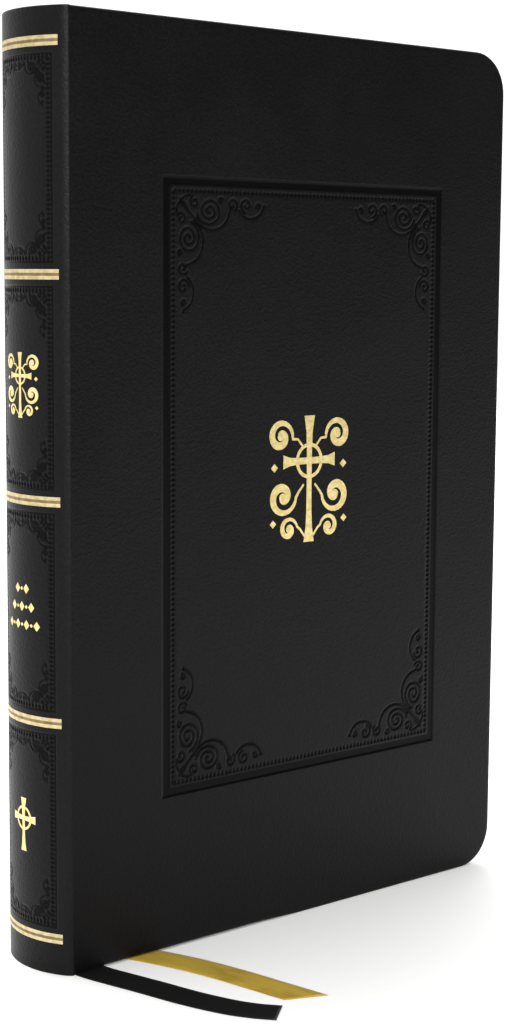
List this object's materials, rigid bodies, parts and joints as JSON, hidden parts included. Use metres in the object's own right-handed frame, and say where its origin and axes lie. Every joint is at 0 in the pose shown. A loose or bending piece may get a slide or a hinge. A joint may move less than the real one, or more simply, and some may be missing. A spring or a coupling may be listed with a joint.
{
  "type": "bible",
  "caption": "Large case-bound bible standing on its tail, with a rounded spine, black leather-look covers that open, fanning leaves and two ribbon markers.",
  "frame": {"origin": "middle of the closed book's footprint, on the surface that it stands on; the ribbons are left out of it", "axes": "+Z from tail to head, front cover faces -Y, spine faces -X, fore-edge faces +X"},
  "size_m": [0.16, 0.0829, 0.241],
  "materials": {
    "black_leather": "fine-grained imitation leather, matt with a slight sheen",
    "greyboard": "dense grey board",
    "card": "plain card",
    "endpaper": "black endpaper, matt",
    "bible_paper": "thin cream paper, edges gilt",
    "gauze": "open-weave starched cotton",
    "kraft_paper": "brown kraft paper",
    "linen_thread": "waxed linen thread",
    "gold_foil": "hot-stamped gold foil",
    "headband_cloth": "rolled sateen band",
    "black_satin": "black satin ribbon",
    "gold_satin": "old-gold satin ribbon"
  },
  "bodies": {
    "spine": {"spine_leather": "black_leather", "spine_inlay": "card", "spine_band_1": "gold_foil", "spine_band_2": "gold_foil", "spine_band_3": "gold_foil", "spine_band_4": "gold_foil", "spine_band_5": "gold_foil", "spine_foil_1": "gold_foil", "spine_foil_2": "gold_foil", "spine_foil_3": "gold_foil", "sewing_thread_1": "linen_thread", "sewing_thread_2": "linen_thread", "sewing_thread_3": "linen_thread", "sewing_thread_4": "linen_thread", "sewing_thread_5": "linen_thread", "gauze_mull": "gauze", "spine_lining": "kraft_paper", "headband": "headband_cloth", "tailband": "headband_cloth", "ribbon_black": "black_satin", "ribbon_gold": "gold_satin"},
    "front_cover": {"front_cover_leather": "black_leather", "front_board": "greyboard", "front_infill_card": "card", "front_pastedown": "endpaper", "cover_cross_foil": "gold_foil"},
    "back_cover": {"back_cover_leather": "black_leather", "back_board": "greyboard", "back_infill_card": "card", "back_pastedown": "endpaper"},
    "front_flyleaf": {"front_flyleaf": "endpaper"},
    "back_flyleaf": {"back_flyleaf": "endpaper"},
    "section_01": {"section_01": "bible_paper"},
    "section_02": {"section_02": "bible_paper"},
    "section_03": {"section_03": "bible_paper"},
    "section_04": {"section_04": "bible_paper"},
    "section_05": {"section_05": "bible_paper"},
    "section_06": {"section_06": "bible_paper"},
    "section_07": {"section_07": "bible_paper"},
    "section_14": {"section_14": "bible_paper"},
    "section_13": {"section_13": "bible_paper"},
    "section_12": {"section_12": "bible_paper"},
    "section_11": {"section_11": "bible_paper"},
    "section_10": {"section_10": "bible_paper"},
    "section_09": {"section_09": "bible_paper"},
    "section_08": {"section_08": "bible_paper"}
  },
  "joints": [
    {"name": "front_cover_hinge", "type": "hinge", "parent": "spine", "child": "front_cover", "pos_m": [-0.07411, -0.014, 0], "axis": [0, 0, -1], "range_deg": [0, 180]},
    {"name": "front_flyleaf_turn", "type": "hinge", "parent": "spine", "child": "front_flyleaf", "pos_m": [-0.07411, -0.0137, 0], "axis": [0, 0, -1], "range_deg": [0, 171]},
    {"name": "section_01_turn", "type": "hinge", "parent": "spine", "child": "section_01", "pos_m": [-0.07411, -0.01353, 0], "axis": [0, 0, -1], "range_deg": [0, 158.4]},
    {"name": "section_02_turn", "type": "hinge", "parent": "spine", "child": "section_02", "pos_m": [-0.07411, -0.01321, 0], "axis": [0, 0, -1], "range_deg": [0, 136.8]},
    {"name": "section_03_turn", "type": "hinge", "parent": "spine", "child": "section_03", "pos_m": [-0.07411, -0.01284, 0], "axis": [0, 0, -1], "range_deg": [0, 115.2]},
    {"name": "section_04_turn", "type": "hinge", "parent": "spine", "child": "section_04", "pos_m": [-0.07411, -0.01235, 0], "axis": [0, 0, -1], "range_deg": [0, 93.6]},
    {"name": "section_05_turn", "type": "hinge", "parent": "spine", "child": "section_05", "pos_m": [-0.07411, -0.01164, 0], "axis": [0, 0, -1], "range_deg": [0, 72]},
    {"name": "section_06_turn", "type": "hinge", "parent": "spine", "child": "section_06", "pos_m": [-0.07411, -0.01044, 0], "axis": [0, 0, -1], "range_deg": [0, 50.4]},
    {"name": "section_07_turn", "type": "hinge", "parent": "spine", "child": "section_07", "pos_m": [-0.07411, -0.00782, 0], "axis": [0, 0, -1], "range_deg": [0, 28.8]},
    {"name": "back_cover_hinge", "type": "hinge", "parent": "spine", "child": "back_cover", "pos_m": [-0.07411, 0.01415, 0], "axis": [0, 0, 1], "range_deg": [0, 180]},
    {"name": "back_flyleaf_turn", "type": "hinge", "parent": "spine", "child": "back_flyleaf", "pos_m": [-0.07411, 0.01385, 0], "axis": [0, 0, 1], "range_deg": [0, 171]},
    {"name": "section_14_turn", "type": "hinge", "parent": "spine", "child": "section_14", "pos_m": [-0.07411, 0.01367, 0], "axis": [0, 0, 1], "range_deg": [0, 158.4]},
    {"name": "section_13_turn", "type": "hinge", "parent": "spine", "child": "section_13", "pos_m": [-0.07411, 0.01336, 0], "axis": [0, 0, 1], "range_deg": [0, 136.8]},
    {"name": "section_12_turn", "type": "hinge", "parent": "spine", "child": "section_12", "pos_m": [-0.07411, 0.01299, 0], "axis": [0, 0, 1], "range_deg": [0, 115.2]},
    {"name": "section_11_turn", "type": "hinge", "parent": "spine", "child": "section_11", "pos_m": [-0.07411, 0.0125, 0], "axis": [0, 0, 1], "range_deg": [0, 93.6]},
    {"name": "section_10_turn", "type": "hinge", "parent": "spine", "child": "section_10", "pos_m": [-0.07411, 0.01179, 0], "axis": [0, 0, 1], "range_deg": [0, 72]},
    {"name": "section_09_turn", "type": "hinge", "parent": "spine", "child": "section_09", "pos_m": [-0.07411, 0.01059, 0], "axis": [0, 0, 1], "range_deg": [0, 50.4]},
    {"name": "section_08_turn", "type": "hinge", "parent": "spine", "child": "section_08", "pos_m": [-0.07411, 0.00797, 0], "axis": [0, 0, 1], "range_deg": [0, 28.8]}
  ],
  "couplings": [
    {"joint": "front_flyleaf_turn", "follows": "front_cover_hinge", "ratio": 0.95},
    {"joint": "section_01_turn", "follows": "front_cover_hinge", "ratio": 0.88},
    {"joint": "section_02_turn", "follows": "front_cover_hinge", "ratio": 0.76},
    {"joint": "section_03_turn", "follows": "front_cover_hinge", "ratio": 0.64},
    {"joint": "section_04_turn", "follows": "front_cover_hinge", "ratio": 0.52},
    {"joint": "section_05_turn", "follows": "front_cover_hinge", "ratio": 0.4},
    {"joint": "section_06_turn", "follows": "front_cover_hinge", "ratio": 0.28},
    {"joint": "section_07_turn", "follows": "front_cover_hinge", "ratio": 0.16},
    {"joint": "back_flyleaf_turn", "follows": "back_cover_hinge", "ratio": 0.95},
    {"joint": "section_14_turn", "follows": "back_cover_hinge", "ratio": 0.88},
    {"joint": "section_13_turn", "follows": "back_cover_hinge", "ratio": 0.76},
    {"joint": "section_12_turn", "follows": "back_cover_hinge", "ratio": 0.64},
    {"joint": "section_11_turn", "follows": "back_cover_hinge", "ratio": 0.52},
    {"joint": "section_10_turn", "follows": "back_cover_hinge", "ratio": 0.4},
    {"joint": "section_09_turn", "follows": "back_cover_hinge", "ratio": 0.28},
    {"joint": "section_08_turn", "follows": "back_cover_hinge", "ratio": 0.16}
  ]
}
